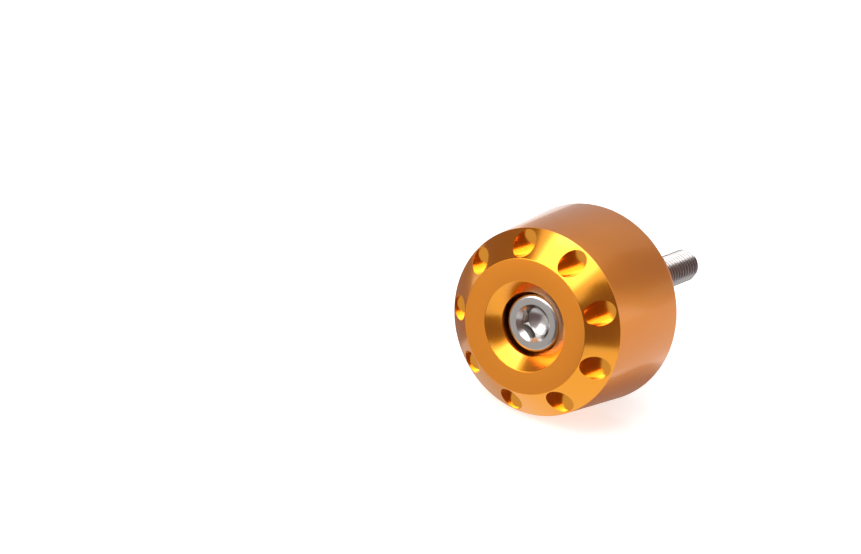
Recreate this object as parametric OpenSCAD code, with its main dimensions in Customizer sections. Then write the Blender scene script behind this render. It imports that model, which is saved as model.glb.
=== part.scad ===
// Bar end weight: a turned body with a ring of flat-floored dimples, and the socket head screw that fixes it.
// The axis runs along Y. The outer face looks to -Y, and the neck's end face, at the origin, meets the bar.

/* [Body] */
// Diameter of the widest ring, at the shoulder
wide_d = 35; // [34:0.5:42]
// Diameter of the front rim, where the tapered side meets the bevel
rim_d = 32.6; // [31:0.2:33.6]
// Outer diameter of the flat ring on the outer face
face_d = 23.4; // [21:0.2:25]
// Length from the shoulder to the outer face
head_length = 22.4; // [16:0.2:40]
// Depth of the bevel, from the flat ring down to the rim
bevel_depth = 4; // [2.4:0.2:6]
// Radius of the rounded edge at the shoulder
shoulder_round = 0.8; // [0.4:0.1:2]
// Width of the small flats that break the turned edges
edge_break = 0.1; // [0.05:0.05:0.3]

/* [Neck] */
// Diameter of the neck, the same as the handlebar's tube
neck_d = 22.2; // [19:0.2:28.6]
// Length of the neck, from the shoulder to its end face
neck_length = 11.2; // [6:0.2:20]
// Chamfer round the neck's end face
neck_chamfer = 0.4; // [0.2:0.1:1]

/* [Screw seat] */
// Mouth diameter of the coned dish in the outer face
dish_d = 15.6; // [13:0.2:19]
// Depth of the dish, from the outer face to the counterbore
dish_depth = 2.1; // [1:0.1:4]
// How far the top of the screw head lies below the outer face
screw_sink = 2.8; // [0.4:0.1:8]
// Gap round the screw head in the counterbore
head_gap = 0.6; // [0.3:0.1:1]
// Gap round the screw shank in the through bore
shank_gap = 0.3; // [0.15:0.05:0.6]
// Chamfer at the through bore's mouth in the neck's end face
bore_chamfer = 0.4; // [0.2:0.1:1]

/* [Dimples] */
// Number of flat-floored dimples sunk into the bevel
dimple_count = 9; // [4:1:10]
// Diameter of each dimple
dimple_d = 4.2; // [3:0.1:4.6]
// Height of a dimple's wall at its lowest side, next to the rim
dimple_wall = 0.4; // [0.1:0.1:4]
// Metal left between a dimple and the rim
rim_land = 0.25; // [0.15:0.05:0.6]

/* [Screw] */
// Nominal diameter of the screw
screw_d = 6; // [5:0.5:6]
// Diameter over the thread's crests
crest_d = 5.9; // [4.9:0.1:5.9]
// Length of the screw below its head
screw_length = 50; // [40:1:70]
// Length of the threaded end, with its run-out
thread_length = 24; // [16:1:30]
// Diameter of the bare neck where the rolled thread runs out to the shank
runout_d = 5.3; // [4.2:0.1:5.3]
// Length of that neck
runout_length = 1; // [0.5:0.1:2]
// Chamfer at the screw's tip
tip_chamfer = 0.8; // [0.4:0.1:1]
// Diameter of the screw head
screw_head_d = 10; // [9:0.2:11]
// Height of the screw head
screw_head_h = 6; // [5:0.2:8]
// Radius of the rounded edge at the top of the screw head
head_round = 0.9; // [0.3:0.1:1.2]
// Width across the flats of the key socket
socket_width = 5; // [4:0.5:5.5]
// Depth of the key socket's flats
socket_depth = 3; // [2.4:0.1:3.6]
// Turn of the socket's corners about the screw's axis
socket_turn = 30; // [0:5:55]
// Width of the chamfer round the socket's corners
socket_chamfer = 0.4; // [0.1:0.05:0.5]

/* [Hidden] */
$fn = 96;

wide_r = wide_d / 2;
rim_r = rim_d / 2;
face_r = face_d / 2;
neck_r = neck_d / 2;
body_length = neck_length + head_length;
rim_z = body_length - bevel_depth;
dimple_r = dimple_d / 2;
dimple_circle_r = rim_r - rim_land - dimple_r;
screw_head_r = screw_head_d / 2;
counterbore_r = screw_head_r + head_gap;
head_top_z = body_length - screw_sink;
seat_z = head_top_z - screw_head_h;
bore_r = screw_d / 2 + shank_gap;
crest_r = crest_d / 2;
runout_r = runout_d / 2;
tip_z = seat_z - screw_length;
socket_corner_r = socket_width / 2 / cos(30);
cut = 1;
dimple_step = 360 / dimple_count;
first_dimple = -90;
orange = [0.86, 0.47, 0.12];
steel = [0.66, 0.65, 0.63];

// Two points that stand in for corner c of an outline, a distance e before and after it
function broken(before, c, after, e) = [
    c + e * (before - c) / norm(before - c),
    c + e * (after - c) / norm(after - c)
];

// Slope of the line from the rim that runs smoothly into the rounded shoulder edge
shoulder_centre = [wide_r - shoulder_round, neck_length + shoulder_round];
to_rim = [rim_r, rim_z] - shoulder_centre;
side_slope = atan2(to_rim[1], to_rim[0]) - acos(shoulder_round / norm(to_rim));
side_start = shoulder_centre + shoulder_round * [cos(side_slope), sin(side_slope)];

// Half outline of the body: neck, shoulder, tapered side, bevel and flat face
module body_outline() {
    rim = [rim_r, rim_z];
    face_edge = [face_r, body_length];
    neck_foot = [neck_r, neck_length];
    polygon(concat(
        [[0, 0]],
        broken([0, 0], [neck_r, 0], neck_foot, neck_chamfer),
        [neck_foot, [shoulder_centre[0], neck_length], shoulder_centre, side_start],
        broken(side_start, rim, face_edge, edge_break),
        broken(rim, face_edge, [0, body_length], edge_break),
        [[0, body_length]]
    ));
    translate(shoulder_centre) circle(shoulder_round);
}

// Half outline of the stepped hole: through bore, counterbore for the screw head, and coned dish
module seat_outline() {
    mouth = [dish_d / 2, body_length];
    foot = [counterbore_r, body_length - dish_depth];
    polygon(concat(
        [[0, -cut], [bore_r + bore_chamfer, -cut], [bore_r + bore_chamfer, 0], [bore_r, bore_chamfer]],
        [[bore_r, seat_z], [counterbore_r, seat_z], foot],
        [mouth - edge_break * (mouth - foot) / norm(mouth - foot)],
        [[mouth[0] + edge_break, body_length], [mouth[0] + edge_break, body_length + cut]],
        [[0, body_length + cut]]
    ));
}

// One dimple's flat-ended cutter, on the body's axis
module dimple_cutter() {
    rim_edge_z = rim_z + bevel_depth * rim_land / (rim_r - face_r);
    floor_z = rim_edge_z - dimple_wall;
    translate([0, 0, floor_z]) cylinder(h = body_length - floor_z + cut, r = dimple_r);
}

module weight_body() {
    color(orange)
    rotate([90, 0, 0])
    difference() {
        rotate_extrude() body_outline();
        rotate_extrude() seat_outline();
        for (i = [0 : dimple_count - 1])
            rotate([0, 0, first_dimple + i * dimple_step])
            translate([dimple_circle_r, 0, 0]) dimple_cutter();
    }
}

// Half outline of the screw: threaded end over its crests, run-out neck, plain shank and round head
module screw_outline() {
    shank_r = screw_d / 2;
    edge_centre = [screw_head_r, head_top_z] - [head_round, head_round];
    thread_end_z = tip_z + thread_length;
    neck_end_z = thread_end_z - runout_length;
    polygon(concat(
        [[0, tip_z], [crest_r - tip_chamfer, tip_z], [crest_r, tip_z + tip_chamfer]],
        [[crest_r, neck_end_z - crest_r + runout_r], [runout_r, neck_end_z]],
        [[runout_r, thread_end_z], [shank_r, thread_end_z + shank_r - runout_r], [shank_r, seat_z]],
        broken([0, seat_z], [screw_head_r, seat_z], [screw_head_r, head_top_z], edge_break),
        [[screw_head_r, edge_centre[1]], edge_centre, [edge_centre[0], head_top_z]],
        [[0, head_top_z]]
    ));
    translate(edge_centre) circle(head_round);
}

// The six-sided key socket, with a drilled cone at its foot and a chamfered mouth
module key_socket() {
    foot_z = head_top_z - socket_depth;
    drill_r = socket_width / 2;
    drill_h = drill_r / tan(60);
    mouth_r = socket_corner_r + socket_chamfer;
    rotate([0, 0, socket_turn])
        translate([0, 0, foot_z]) cylinder(h = socket_depth + cut, r = socket_corner_r, $fn = 6);
    translate([0, 0, foot_z - drill_h]) cylinder(h = drill_h, r1 = 0, r2 = drill_r);
    translate([0, 0, head_top_z - mouth_r])
        cylinder(h = mouth_r + cut, r1 = 0, r2 = mouth_r + cut);
}

module fixing_screw() {
    color(steel)
    rotate([90, 0, 0])
    difference() {
        rotate_extrude() screw_outline();
        key_socket();
    }
}

weight_body();
fixing_screw();
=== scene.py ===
import math

import bmesh
import bpy
from mathutils import Matrix, Vector


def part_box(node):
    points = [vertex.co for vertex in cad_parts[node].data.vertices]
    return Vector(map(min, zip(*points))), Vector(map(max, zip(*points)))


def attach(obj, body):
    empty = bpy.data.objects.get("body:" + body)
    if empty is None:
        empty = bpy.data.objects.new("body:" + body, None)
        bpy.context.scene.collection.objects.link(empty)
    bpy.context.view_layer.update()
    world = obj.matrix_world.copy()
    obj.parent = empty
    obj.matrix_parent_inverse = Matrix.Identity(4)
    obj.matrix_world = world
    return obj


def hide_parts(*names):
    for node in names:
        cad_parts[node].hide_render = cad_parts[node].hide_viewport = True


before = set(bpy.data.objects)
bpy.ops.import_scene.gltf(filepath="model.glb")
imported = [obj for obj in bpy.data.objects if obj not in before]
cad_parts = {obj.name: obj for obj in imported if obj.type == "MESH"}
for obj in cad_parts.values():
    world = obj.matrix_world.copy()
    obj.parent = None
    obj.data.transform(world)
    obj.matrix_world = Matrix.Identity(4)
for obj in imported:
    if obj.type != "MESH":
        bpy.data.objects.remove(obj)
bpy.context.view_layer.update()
mm = 0.001
weld = 2e-6   # m; points closer than this are one point
speck = 1e-8   # m; edges shorter than this are dropped
smoothAngle = 28   # degrees; sharper edges stay sharp


# Small helpers: selection, edit mode, outlines

def clearSelection():
    if bpy.context.object and bpy.context.object.mode != "OBJECT":
        bpy.ops.object.mode_set(mode="OBJECT")
    bpy.ops.object.select_all(action="DESELECT")


def pick(obj):
    clearSelection()
    obj.select_set(True)
    bpy.context.view_layer.objects.active = obj


def editPicked(obj, vertexTest=None):   # opens edit mode with only the tested points selected
    pick(obj)
    bpy.ops.object.mode_set(mode="EDIT")
    bpy.ops.mesh.select_mode(type="VERT")
    bpy.ops.mesh.select_all(action="DESELECT")
    mesh = bmesh.from_edit_mesh(obj.data)
    for vertex in mesh.verts:
        if vertexTest and vertexTest(vertex):
            vertex.select_set(True)
    mesh.select_flush_mode()
    bmesh.update_edit_mesh(obj.data)


def leaveEdit():
    bpy.ops.object.mode_set(mode="OBJECT")


def freezePlace(obj):   # puts the object's place into its mesh
    pick(obj)
    bpy.ops.object.transform_apply(location=True, rotation=True, scale=True)


def applyModifier(obj, modifier):
    pick(obj)
    bpy.ops.object.modifier_apply(modifier=modifier.name)


def combine(obj, tool, operation):   # cuts or joins closed shapes, and drops the tool
    modifier = obj.modifiers.new("combine", "BOOLEAN")
    modifier.operation = operation
    modifier.object = tool
    modifier.solver = "EXACT"
    applyModifier(obj, modifier)
    bpy.data.objects.remove(tool, do_unlink=True)


def roundedOutline(corners):   # of (radius, along, rounding); an arc replaces each rounded corner
    points = []
    arcStep = math.radians(12)
    count = len(corners)
    for i, (r, along, rounding) in enumerate(corners):
        here = Vector((r, along))
        if not rounding:
            points.append(here)
            continue
        before = (Vector(corners[i - 1][:2]) - here).normalized()
        after = (Vector(corners[(i + 1) % count][:2]) - here).normalized()
        half = before.angle(after) / 2
        centre = here + (before + after).normalized() * (rounding / math.sin(half))
        first = here + before * (rounding / math.tan(half)) - centre
        last = here + after * (rounding / math.tan(half)) - centre
        sweep = first.angle_signed(last)
        steps = max(3, round(abs(sweep) / arcStep))
        for step in range(steps + 1):
            points.append(centre + Matrix.Rotation(-sweep * step / steps, 2) @ first)
    return points


def drawOutline(name, points):   # extrudes one vertex along a half outline, and stays in edit mode
    clearSelection()
    bpy.ops.mesh.primitive_plane_add(size=mm, location=(0, 0, 0))
    obj = bpy.context.object
    obj.name = name
    bpy.ops.object.mode_set(mode="EDIT")
    bpy.ops.mesh.select_mode(type="VERT")
    bpy.ops.mesh.select_all(action="SELECT")
    bpy.ops.mesh.merge(type="CENTER")
    bpy.ops.transform.translate(value=(points[0][0] * mm, points[0][1] * mm, 0))
    for here, there in zip(points, points[1:]):
        step = (there - here) * mm
        bpy.ops.mesh.extrude_region_move(TRANSFORM_OT_translate={"value": (step[0], step[1], 0)})
    return obj


def turned(name, points, steps, closed=False):   # spins a half outline round Y
    obj = drawOutline(name, points + points[:1] if closed else points)
    bpy.ops.mesh.select_all(action="SELECT")
    bpy.ops.mesh.spin(
        steps=steps, angle=math.tau, center=(0, 0, 0), axis=(0, 1, 0), use_auto_merge=False)
    tidyShell()
    leaveEdit()
    return obj


def tidyShell():   # in edit mode: closes seams and poles, and turns the faces outwards
    bpy.ops.mesh.select_all(action="SELECT")
    bpy.ops.mesh.remove_doubles(threshold=weld)
    bpy.ops.mesh.dissolve_degenerate(threshold=speck)
    bpy.ops.mesh.select_all(action="SELECT")
    bpy.ops.mesh.normals_make_consistent(inside=False)


def smoothByAngle(obj):
    pick(obj)
    bpy.ops.object.shade_smooth_by_angle(angle=math.radians(smoothAngle))


# Shader sums, written as Python expressions

class Socket:
    def __init__(self, tree, link):
        self.tree = tree
        self.link = link

    def maths(self, operation, *values):
        return self.tree.add("ShaderNodeMath", {"operation": operation}, *values)

    def __add__(self, other):
        return self.maths("ADD", self, other)

    def __radd__(self, other):
        return self.maths("ADD", other, self)

    def __sub__(self, other):
        return self.maths("SUBTRACT", self, other)

    def __rsub__(self, other):
        return self.maths("SUBTRACT", other, self)

    def __mul__(self, other):
        return self.maths("MULTIPLY", self, other)

    def __rmul__(self, other):
        return self.maths("MULTIPLY", other, self)

    def __truediv__(self, other):
        return self.maths("DIVIDE", self, other)

    def __pow__(self, other):
        return self.maths("POWER", self, other)

    def above(self, edge, soft):   # 0 below the edge, 1 above it, with a soft step
        settings = {"interpolation_type": "SMOOTHSTEP"}
        limits = (edge - soft, edge + soft, 0.0, 1.0)
        return self.tree.add("ShaderNodeMapRange", settings, self, *limits)

    def below(self, edge, soft):
        return 1 - self.above(edge, soft)


class Tree:
    def __init__(self, name):
        self.material = bpy.data.materials.new(name)
        self.material.use_nodes = True
        self.nodes = self.material.node_tree.nodes
        self.links = self.material.node_tree.links
        self.shader = self.nodes["Principled BSDF"]

    def add(self, kind, settings=None, *values, output=0):
        node = self.nodes.new(kind)
        for key, value in (settings or {}).items():
            setattr(node, key, value)
        for i, value in enumerate(values):
            if value is not None:
                self.feed(node.inputs[i], value)
        return Socket(self, node.outputs[output])

    def feed(self, socket, value):
        if isinstance(value, Socket):
            self.links.new(value.link, socket)
        else:
            socket.default_value = value

    def finish(self, **sockets):   # feeds the shader's sockets, with underscores for spaces
        for key, value in sockets.items():
            self.feed(self.shader.inputs[key.replace("_", " ")], value)
        return self.material

    def blend(self, factor, first, second):   # mixes two colours
        node = self.nodes.new("ShaderNodeMix")
        node.data_type = "RGBA"
        for i, value in ((0, factor), (6, first), (7, second)):   # the sockets for colours
            self.feed(node.inputs[i], value)
        return Socket(self, node.outputs[2])

    def noise(self, place, scale, detail=2.0, roughness=0.5):
        settings = {"noise_dimensions": "3D"}
        return self.add("ShaderNodeTexNoise", settings, place, None, scale, detail, roughness)

    def turningMarks(self, radius, along, scale, roughness):   # noise in rings round the axis
        ringPlace = self.add("ShaderNodeCombineXYZ", None, radius, along, 0.0)
        return self.noise(ringPlace, scale, 3.0, roughness)

    def bump(self, height, strength, distance):
        node = self.nodes.new("ShaderNodeBump")
        self.feed(node.inputs["Strength"], strength)
        self.feed(node.inputs["Distance"], distance)
        self.feed(node.inputs["Height"], height)
        return Socket(self, node.outputs[0])

    def cylinderPlace(self):   # Object coordinates, then the radius and the place along Y in mm
        place = self.add("ShaderNodeTexCoord", output="Object")
        split = self.nodes.new("ShaderNodeSeparateXYZ")
        self.feed(split.inputs[0], place)
        x, y, z = (Socket(self, output) / mm for output in split.outputs)
        return place, (x * x + z * z) ** 0.5, y


# Camera: the photograph's own place, found by fitting the object's round edges to it

print("camera")
viewForm = {
    "place": (220.82, -482.14, 186.50),   # mm
    "turn": (69.48, -12.76, 32.92),   # degrees
    "lens": 132.42,   # mm
    "sensor": 36.0,   # mm across
    "nearClip": 0.01,   # m
    "farClip": 20.0,   # m
}


def makeCamera(form):
    data = bpy.data.cameras.new("view")
    data.lens = form["lens"]
    data.sensor_width = form["sensor"]
    data.sensor_fit = "HORIZONTAL"
    data.clip_start = form["nearClip"]
    data.clip_end = form["farClip"]
    obj = bpy.data.objects.new("view", data)
    bpy.context.collection.objects.link(obj)
    obj.location = Vector(form["place"]) * mm
    obj.rotation_euler = [math.radians(turn) for turn in form["turn"]]
    bpy.context.scene.camera = obj


makeCamera(viewForm)


# Body: turned outline, then nine flat-floored dimples

print("body")
bodyLow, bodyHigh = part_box("weight_body")
bodyForm = {   # mm
    "wideRadius": bodyHigh.x / mm,
    "length": -bodyLow.y / mm,
    "neckLength": 11.2,
    "neckRadius": 11.1,
    "rimRadius": 16.3,
    "bevelDepth": 4.0,
    "faceRadius": 11.7,
    "dishRadius": 7.8,
    "dishDepth": 2.1,
    "seatRadius": 5.6,
    "seatDepth": 8.8,
    "boreRadius": 3.3,
    "endChamfer": 0.4,
    "shoulderRound": 0.8,
    "edgeRound": 0.12,
    "footRound": 0.2,
    "dimples": 9,
    "dimpleRadius": 2.1,
    "dimpleCircle": 13.95,
    "dimpleWall": 0.4,
    "firstDimple": -90,   # degrees from +X towards +Z
    "turnSteps": 320,
    "dimpleSteps": 72,
    "cutterOverrun": 1.0,
}


def bodyCorners(form):   # (radius, place along Y, rounding) round the half outline
    face = -form["length"]
    rim = Vector((form["rimRadius"], -face - form["bevelDepth"]))
    rounding = form["shoulderRound"]
    arcCentre = Vector((form["wideRadius"] - rounding, form["neckLength"] + rounding))
    toRim = rim - arcCentre
    slope = math.atan2(toRim.y, toRim.x) - math.acos(rounding / toRim.length)
    shoulderRadius = rim.x + (rim.y - form["neckLength"]) * math.tan(slope)
    edge, chamfer = form["edgeRound"], form["endChamfer"]
    return [
        (form["boreRadius"] + chamfer, 0, edge),
        (form["boreRadius"], -chamfer, edge),
        (form["boreRadius"], face + form["seatDepth"], edge),
        (form["seatRadius"], face + form["seatDepth"], edge),
        (form["seatRadius"], face + form["dishDepth"], edge),
        (form["dishRadius"], face, edge),
        (form["faceRadius"], face, edge),
        (form["rimRadius"], face + form["bevelDepth"], edge),
        (shoulderRadius, -form["neckLength"], rounding),
        (form["neckRadius"], -form["neckLength"], form["footRound"]),
        (form["neckRadius"], -chamfer, edge),
        (form["neckRadius"] - chamfer, 0, edge),
    ]


def makeCutter(form):   # one dimple's flat-ended cutter, on the +X side
    radius, face = form["dimpleRadius"], -form["length"]
    rimLand = form["rimRadius"] - form["dimpleCircle"] - radius
    bevelWidth = form["rimRadius"] - form["faceRadius"]
    floor = face + form["bevelDepth"] * (1 - rimLand / bevelWidth) + form["dimpleWall"]
    start = face - form["cutterOverrun"]
    outline = [(0, start), (radius, start), (radius, floor), (0, floor)]
    cutter = turned("dimple_cutter", [Vector(point) for point in outline], form["dimpleSteps"])
    cutter.location.x = form["dimpleCircle"] * mm
    freezePlace(cutter)
    return cutter


def copyRound(tool, count, first):   # joins copies of a tool, spaced evenly round the Y axis
    copies = []
    for i in range(count):
        copy = tool.copy()
        copy.data = tool.data.copy()
        bpy.context.collection.objects.link(copy)
        angle = math.radians(first + i * 360 / count)
        copy.matrix_world = Matrix.Rotation(-angle, 4, "Y")
        freezePlace(copy)
        copies.append(copy)
    bpy.data.objects.remove(tool, do_unlink=True)
    pick(copies[0])
    for copy in copies[1:]:
        copy.select_set(True)
    bpy.ops.object.join()
    return bpy.context.object


def makeBody(form):
    outline = roundedOutline(bodyCorners(form))
    body = turned("turned_weight", outline, form["turnSteps"], closed=True)
    cutters = copyRound(makeCutter(form), form["dimples"], form["firstDimple"])
    combine(body, cutters, "DIFFERENCE")
    smoothByAngle(body)
    return body


body = makeBody(bodyForm)


# Screw: turned head and shank, key socket, knurl, and a helical thread

print("screw")
screwLow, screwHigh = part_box("fixing_screw")
screwForm = {   # mm
    "top": screwLow.y / mm,
    "tip": screwHigh.y / mm,
    "headRadius": screwHigh.x / mm + 0.1,   # over the knurl's crests
    "headHeight": 6.0,
    "headRound": 0.8,
    "seatRound": 0.1,
    "footRound": 0.25,
    "shankRadius": 3.0,
    "neckRadius": 2.65,
    "neckStart": 1.2,
    "neckEnd": 2.2,
    "crestRadius": 2.95,
    "rootRadius": 2.41,
    "pitch": 1.0,
    "flankAngle": 30,   # degrees
    "runOut": 1.2,
    "tipChamfer": 0.8,
    "socketWidth": 5.0,
    "socketDepth": 3.0,
    "socketChamfer": 0.4,
    "socketSteps": 90,
    "cutterOverrun": 1.0,
    "drillOverlap": 0.2,
    "drillHalfAngle": 60,   # degrees
    "knurlGrooves": 72,
    "knurlDepth": 0.14,
    "knurlMargin": 0.35,
    "threadSteps": 48,
    "limitSteps": 96,
    "limitGap": 0.01,
}


def screwBlank(form):   # head and shank as one turned piece, ending inside the thread
    top, seat = form["top"], form["top"] + form["headHeight"]
    head, shank, neck = form["headRadius"], form["shankRadius"], form["neckRadius"]
    knurlTop = top + form["headRound"] + form["knurlMargin"]
    knurlFoot = seat - form["knurlMargin"]
    blend = shank - neck
    corners = [
        (0, top, 0),
        (head, top, form["headRound"]),
        (head, knurlTop, 0),
        (head, knurlTop + form["knurlMargin"] / 2, 0),
        (head, knurlFoot - form["knurlMargin"] / 2, 0),
        (head, knurlFoot, 0),
        (head, seat, form["seatRound"]),
        (shank, seat, form["footRound"]),
        (shank, form["neckStart"] - blend, 0),
        (neck, form["neckStart"], 0),
        (neck, form["neckEnd"] + form["pitch"] / 2, 0),
        (0, form["neckEnd"] + form["pitch"] / 2, 0),
    ]
    return turned("cap_screw", roundedOutline(corners), form["knurlGrooves"] * 2)


def pressKnurl(screw, form):   # every second column of the head's side is pressed in
    seat = form["top"] + form["headHeight"]
    margin = form["knurlMargin"] * 1.25   # between the two rings of points at each end
    start = (form["top"] + form["headRound"] + margin) * mm
    end = (seat - margin) * mm
    edge = form["headRadius"] * mm * 0.99   # only the outermost points lie beyond it
    step = math.pi / form["knurlGrooves"]

    def inGroove(v):
        column = round(math.atan2(v.co.z, v.co.x) / step)
        return start < v.co.y < end and math.hypot(v.co.x, v.co.z) > edge and column % 2 == 1

    editPicked(screw, vertexTest=inGroove)
    pressed = 1 - form["knurlDepth"] / form["headRadius"]
    bpy.ops.transform.resize(value=(pressed, 1, pressed), center_override=(0, 0, 0))
    leaveEdit()


def cutSocket(screw, form):
    cornerRadius = form["socketWidth"] / 2 / math.cos(math.radians(30))
    overrun = form["cutterOverrun"]
    top, foot = form["top"], form["top"] + form["socketDepth"]
    clearSelection()
    bpy.ops.mesh.primitive_cylinder_add(
        vertices=6, radius=cornerRadius * mm, depth=(foot - top + overrun) * mm,
        location=(0, (foot + top - overrun) / 2 * mm, 0), rotation=(math.radians(90), 0, 0))
    key = bpy.context.object
    freezePlace(key)
    combine(screw, key, "DIFFERENCE")
    drill = form["socketWidth"] / 2
    drillStart = foot - form["drillOverlap"]
    drillPoint = drill / math.tan(math.radians(form["drillHalfAngle"]))
    mouth = cornerRadius + form["socketChamfer"]
    cutters = [
        [(0, drillStart), (drill, drillStart), (drill, foot), (0, foot + drillPoint)],
        [(0, top - overrun), (mouth + overrun, top - overrun), (0, top + mouth)],
    ]
    for points in cutters:
        tool = turned("socket_cutter", [Vector(point) for point in points], form["socketSteps"])
        combine(screw, tool, "DIFFERENCE")


def threadedRod(form):   # one pitch of the thread's outline, wound up along Y and trimmed
    pitch, root, crest = form["pitch"], form["rootRadius"], form["crestRadius"]
    start = form["neckEnd"] - 2 * pitch
    length = form["tip"] - start
    turns = math.ceil(length / pitch) + 2
    flank = (crest - root) * math.tan(math.radians(form["flankAngle"]))
    crestHalf = pitch / 16   # the crest's flat is an eighth of the pitch
    crestPlace = start + pitch / 2
    outline = [
        (root, start),
        (root, crestPlace - crestHalf - flank),
        (crest, crestPlace - crestHalf),
        (crest, crestPlace + crestHalf),
        (root, crestPlace + crestHalf + flank),
        (root, start + pitch),
    ]
    rod = drawOutline("thread", [Vector(point) for point in outline])
    leaveEdit()
    winding = rod.modifiers.new("winding", "SCREW")
    winding.axis = "Y"
    winding.angle = math.tau
    winding.screw_offset = pitch * mm
    winding.iterations = turns
    winding.steps = winding.render_steps = form["threadSteps"]
    applyModifier(rod, winding)
    editPicked(rod)
    tidyShell()   # joins each turn to the next
    for place, side in ((start + 1.5 * pitch, -1), (form["tip"] + 0.5 * pitch, 1)):
        bpy.ops.mesh.select_all(action="SELECT")
        bpy.ops.mesh.bisect(
            plane_co=(0, place * mm, 0), plane_no=(0, side, 0), use_fill=True, clear_outer=True,
            threshold=weld / 10)
    tidyShell()
    leaveEdit()
    return rod


def threadLimit(form):   # holds the thread in: run-out at one end, chamfer at the other
    crest, root, tip = form["crestRadius"], form["rootRadius"], form["tip"]
    start, chamfer = form["neckEnd"], form["tipChamfer"]
    clear = crest + form["limitGap"]
    points = [
        (0, start),
        (root, start),
        (clear, start + form["runOut"]),
        (clear, tip - chamfer),
        (crest - chamfer, tip),
        (0, tip),
    ]
    return turned("thread_limit", [Vector(point) for point in points], form["limitSteps"])


def makeScrew(form):
    screw = screwBlank(form)
    pressKnurl(screw, form)
    cutSocket(screw, form)
    rod = threadedRod(form)
    combine(rod, threadLimit(form), "INTERSECT")
    combine(screw, rod, "UNION")
    smoothByAngle(screw)
    return screw


screw = makeScrew(screwForm)


# Finishes

print("finishes")
bodyLook = {   # colours as linear light, lengths in mm
    "blastedDark": (0.93, 0.300, 0.020, 1),
    "blastedLight": (0.95, 0.320, 0.024, 1),
    "cut": (0.93, 0.350, 0.014, 1),
    # painted highlight: the dimples lighter and yellower than the other cut faces
    "dimple": (0.95, 0.375, 0.020, 1),
    "roughness": 0.14,
    "ringRoughness": 0.08,
    "dishRoughness": 0.06,
    "blastedRoughness": 0.16,
    "cloudRoughness": 0.06,
    "grainScale": 9000.0,
    "cloudScale": 160.0,
    "ringScale": 9.0,
    "ringHeight": 0.35,
    "bumpStrength": 0.12,
    "coatRoughness": 0.12,
    "coatIndex": 1.5,
    "faceCoatLoss": 0.5,
    "cutCoatLoss": 0.3,
    "inset": 0.02,   # from a turned edge to the middle of a zone's soft edge
    "rimInset": 0.05,
    "seatReach": 2.0,   # how far the dish's zone runs past the screw's seat
    "bevelReach": 3.5,   # how far the bevel's zone runs past the rim, over the dimples' floors
    "softReach": 0.1,
    "coneDepth": 0.08,   # a dimple's zone starts this far under the bevel's cone
    "softCone": 0.04,
    "faceDepth": 0.05,   # the flat ring's zone ends this far under the outer face
    "softFace": 0.03,
}
steelLook = {
    "bright": (0.52, 0.50, 0.49, 1),
    # painted shade, blended over the thread and deepest between its crests
    "paintedShade": (0.12, 0.10, 0.09, 1),
    "threadPaintedShade": 0.28,
    "rootPaintedShade": 0.6,
    "softThread": 0.3,
    "softRoot": 0.25,
    "roughness": 0.16,
    "cloudRoughness": 0.12,
    "cloudScale": 900.0,
    "ringScale": 7.0,
    "bumpStrength": 0.2,
}
bumpDepth = 0.00002   # m


def anodised(form, look):   # dye under clear oxide: blasted outside, cut in dish, bevel and dimples; the dimples' lighter, yellower colour is a painted highlight
    tree = Tree("orange_anodising")
    place, radius, along = tree.cylinderPlace()
    face, inset, reach = -form["length"], look["inset"], look["softReach"]
    inDish = radius.below(form["dishRadius"] + inset, inset)
    inDish = inDish * along.below(face + form["seatDepth"] + look["seatReach"], reach)
    onBevel = radius.above(form["faceRadius"] - inset, inset)
    onBevel = onBevel * radius.below(form["rimRadius"] - look["rimInset"], inset)
    inFront = along.below(face + form["bevelDepth"] + look["bevelReach"], reach)
    cut = inDish + onBevel * inFront
    bevelSlope = form["bevelDepth"] / (form["rimRadius"] - form["faceRadius"])
    cone = face - form["faceRadius"] * bevelSlope + look["coneDepth"]
    dimpleHighlightZone = onBevel * inFront * (along - radius * bevelSlope).above(cone, look["softCone"])
    onFace = along.below(face + look["faceDepth"], look["softFace"])
    blasted = (1 - cut) * (1 - onFace)
    grain = tree.noise(place, look["grainScale"], 2.0)
    cloud = tree.noise(place, look["cloudScale"], 2.0)
    rings = tree.turningMarks(radius, along, look["ringScale"], 0.7)
    dyeAndHighlight = tree.blend(cloud, look["blastedDark"], look["blastedLight"])
    dyeAndHighlight = tree.blend(cut, dyeAndHighlight, look["cut"])
    # painted highlight in the dimples
    dyeAndHighlight = tree.blend(dimpleHighlightZone, dyeAndHighlight, look["dimple"])
    roughness = look["roughness"] + cut * rings * look["ringRoughness"]
    roughness = roughness + inDish * look["dishRoughness"]
    roughness = roughness + (1 - cut) * look["blastedRoughness"]
    roughness = roughness + blasted * cloud * look["cloudRoughness"]
    height = cut * rings * look["ringHeight"] + (1 - cut) * grain
    coat = 1 - onFace * look["faceCoatLoss"] - cut * look["cutCoatLoss"]
    return tree.finish(
        Base_Color=dyeAndHighlight, Metallic=1.0, Roughness=roughness,
        Normal=tree.bump(height, look["bumpStrength"], bumpDepth),
        Coat_Weight=coat, Coat_Roughness=look["coatRoughness"], Coat_IOR=look["coatIndex"])


def stainless(form, look):   # painted shade: the thread darker all over, and darkest between its crests
    tree = Tree("stainless_steel")
    place, radius, along = tree.cylinderPlace()
    rings = tree.turningMarks(radius, along, look["ringScale"], 0.6)
    cloud = tree.noise(place, look["cloudScale"], 3.0)
    threaded = along.above(form["neckEnd"], look["softThread"])
    flankMiddle = (form["rootRadius"] + form["crestRadius"]) / 2
    inRoot = threaded * radius.below(flankMiddle, look["softRoot"])
    # painted shade on the thread, deepest in its roots
    shade = threaded * look["threadPaintedShade"] + inRoot * look["rootPaintedShade"]
    steel = tree.blend(shade, look["bright"], look["paintedShade"])
    return tree.finish(
        Base_Color=steel, Metallic=1.0,
        Roughness=look["roughness"] + cloud * look["cloudRoughness"],
        Normal=tree.bump(rings, look["bumpStrength"], bumpDepth))


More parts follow.
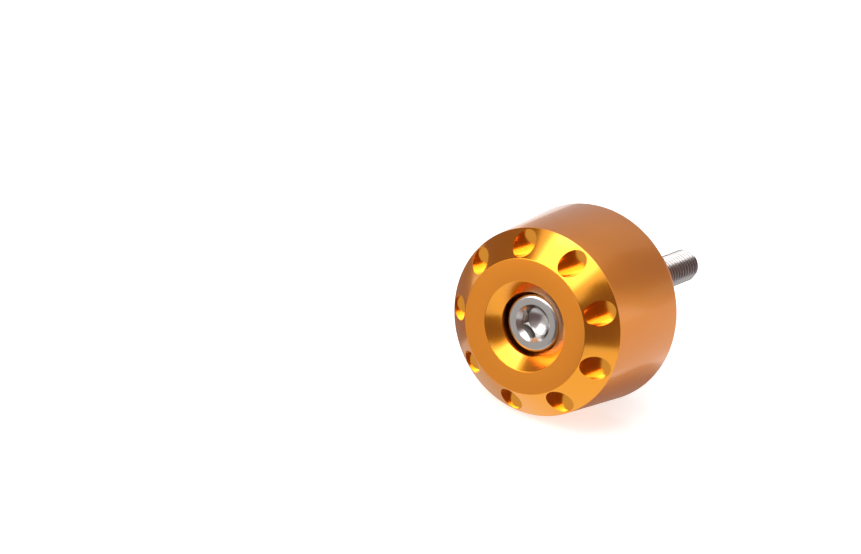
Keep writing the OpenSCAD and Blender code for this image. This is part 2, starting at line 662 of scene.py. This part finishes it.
def dress(piece, material, node):   # gives a piece its finish and its body, and hides the CAD node it replaces
    piece.data.materials.clear()
    piece.data.materials.append(material)
    for face in piece.data.polygons:
        face.material_index = 0
    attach(piece, "root")
    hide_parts(node)


bodyFinish = anodised(bodyForm, bodyLook)
screwFinish = stainless(screwForm, steelLook)
dress(body, bodyFinish, "weight_body")
dress(screw, screwFinish, "fixing_screw")


# Studio: floor, world, three soft lamps, and cards that only the metal mirrors

print("studio")
studioForm = {
    "floorSize": 12.0,   # m
    "floorWhite": 0.82,   # brightness far away; near the object the lamps add to it
    "floorNear": 0.72,   # share of it near the object, which leaves room for the shadow
    "nearEdge": 0.5,   # m from the floor's middle, where near turns into far
    "nearBlend": 0.3,   # m to either side of that edge
    "skyDiffuse": 0.30,   # how strongly the white surroundings light dull surfaces
    "lamps": [   # azimuth from -Y towards +X and elevation, in degrees; metres
        {"azimuth": -8, "elevation": 52, "distance": 0.5,
         "width": 0.45, "height": 0.21, "radiance": 2.0},
        {"azimuth": -14, "elevation": 21, "distance": 0.5,
         "width": 0.47, "height": 0.29, "radiance": 4.8},
        {"azimuth": -6, "elevation": 84, "distance": 0.5,
         "width": 0.40, "height": 0.46, "radiance": 2.3},
    ],
    "cards": [   # placed as the lamps are, with their colour
        {"azimuth": 16, "elevation": -3, "distance": 0.35,
         "width": 0.38, "height": 0.42, "shade": (0.20, 0.135, 0.13)},
        {"azimuth": 49, "elevation": 15, "distance": 0.34,
         "width": 0.17, "height": 0.34, "shade": (0.23, 0.150, 0.14)},
        {"azimuth": 88, "elevation": 14, "distance": 0.35,
         "width": 0.18, "height": 0.36, "shade": (0.26, 0.21, 0.20)},
        {"azimuth": -31, "elevation": -20, "distance": 0.36,
         "width": 0.20, "height": 0.25, "shade": (0.66, 0.64, 0.62)},
        {"azimuth": -63, "elevation": -20, "distance": 0.36,
         "width": 0.20, "height": 0.22, "shade": (0.30, 0.22, 0.19)},
        {"azimuth": -80, "elevation": 26, "distance": 0.35,
         "width": 0.34, "height": 0.28, "shade": (0.28, 0.19, 0.18)},
        {"azimuth": -112, "elevation": -15, "distance": 0.36,
         "width": 0.26, "height": 0.27, "shade": (0.34, 0.24, 0.21)},
        {"azimuth": -120, "elevation": -50, "distance": 0.37,
         "width": 0.22, "height": 0.20, "shade": (0.66, 0.60, 0.57)},
        {"azimuth": 180, "elevation": 28, "distance": 0.35,
         "width": 0.63, "height": 0.40, "shade": (0.46, 0.42, 0.41)},
        {"azimuth": 152, "elevation": 31, "distance": 0.33,
         "width": 0.14, "height": 0.15, "shade": (0.34, 0.26, 0.25)},
        {"azimuth": 140, "elevation": -13, "distance": 0.36,
         "width": 0.20, "height": 0.24, "shade": (0.76, 0.70, 0.66)},
        {"azimuth": -175, "elevation": -52, "distance": 0.35,
         "width": 0.37, "height": 0.24, "shade": (0.36, 0.22, 0.16)},
        {"azimuth": -158, "elevation": -27, "distance": 0.36,
         "width": 0.25, "height": 0.15, "shade": (0.36, 0.22, 0.16)},
    ],
}


def towards(azimuth, elevation):   # a direction from the object
    a, e = math.radians(azimuth), math.radians(elevation)
    return Vector((math.sin(a) * math.cos(e), -math.cos(a) * math.cos(e), math.sin(e)))


def faceObject(obj, form):   # puts a lamp or card round the object, facing it
    direction = towards(form["azimuth"], form["elevation"])
    obj.location = direction * form["distance"]
    obj.rotation_euler = direction.to_track_quat("Z", "Y").to_euler()


def seenRays(tree):   # 1 for the rays that show the background itself
    rays = ("Is Camera Ray", "Is Glossy Ray", "Is Transmission Ray")
    fromCamera, glossy, transmission = [
        tree.add("ShaderNodeLightPath", output=ray) for ray in rays]
    either = fromCamera.maths("MAXIMUM", fromCamera, glossy)
    return either.maths("MAXIMUM", either, transmission)


def makeFloor(form):
    clearSelection()
    bpy.ops.mesh.primitive_plane_add(size=form["floorSize"], location=(0, 0, bodyLow.z))
    floor = bpy.context.object
    floor.name = "floor"
    tree = Tree("white_floor")
    near = form["floorNear"]
    place = tree.add("ShaderNodeTexCoord", output="Object")
    away = tree.add("ShaderNodeVectorMath", {"operation": "LENGTH"}, place, output="Value")
    far = away.above(form["nearEdge"], form["nearBlend"])
    white = tree.blend(far, (near, near, near, 1), (1, 1, 1, 1))
    white = tree.blend(seenRays(tree), (0, 0, 0, 1), white)
    tree.finish(Base_Color=(0.8, 0.8, 0.8, 1), Roughness=1.0, Emission_Color=white)
    tree.shader.inputs["Emission Strength"].default_value = form["floorWhite"]
    floor.data.materials.append(tree.material)
    floor.visible_glossy = False   # the metal mirrors the white room there, and the cards


def makeWorld(form):
    world = bpy.data.worlds.new("white_room")
    bpy.context.scene.world = world
    world.use_nodes = True
    nodes, links = world.node_tree.nodes, world.node_tree.links
    sky = nodes["Background"]
    path = nodes.new("ShaderNodeLightPath")
    seen = path.outputs["Is Camera Ray"]
    for ray in ("Is Glossy Ray", "Is Transmission Ray"):
        either = nodes.new("ShaderNodeMath")
        either.operation = "MAXIMUM"
        links.new(seen, either.inputs[0])
        links.new(path.outputs[ray], either.inputs[1])
        seen = either.outputs[0]
    level = nodes.new("ShaderNodeMapRange")
    level.inputs["To Min"].default_value = form["skyDiffuse"]
    level.inputs["To Max"].default_value = 1
    links.new(seen, level.inputs["Value"])
    links.new(level.outputs[0], sky.inputs["Strength"])
    sky.inputs["Color"].default_value = (1, 1, 1, 1)


def makeLamp(form, number):
    data = bpy.data.lights.new(f"softbox_{number}", "AREA")
    data.shape = "RECTANGLE"
    data.size, data.size_y = form["width"], form["height"]
    data.energy = form["radiance"] * math.pi * form["width"] * form["height"]
    lamp = bpy.data.objects.new(data.name, data)
    bpy.context.collection.objects.link(lamp)
    faceObject(lamp, form)
    lamp.visible_camera = False


def makeCard(form, number):
    clearSelection()
    bpy.ops.mesh.primitive_plane_add(size=1)
    card = bpy.context.object
    card.name = f"grey_card_{number}"
    card.scale = (form["width"], form["height"], 1)
    faceObject(card, form)
    tree = Tree(card.name)
    tree.finish(Base_Color=(0, 0, 0, 1), Roughness=1.0, Emission_Color=(*form["shade"], 1))
    tree.shader.inputs["Emission Strength"].default_value = 1
    tree.shader.inputs["Specular IOR Level"].default_value = 0
    card.data.materials.append(tree.material)
    card.visible_camera = card.visible_diffuse = card.visible_shadow = False


bpy.context.scene.view_settings.view_transform = "Standard"
makeFloor(studioForm)
makeWorld(studioForm)
for number, lampForm in enumerate(studioForm["lamps"], 1):
    makeLamp(lampForm, number)
for number, cardForm in enumerate(studioForm["cards"], 1):
    makeCard(cardForm, number)
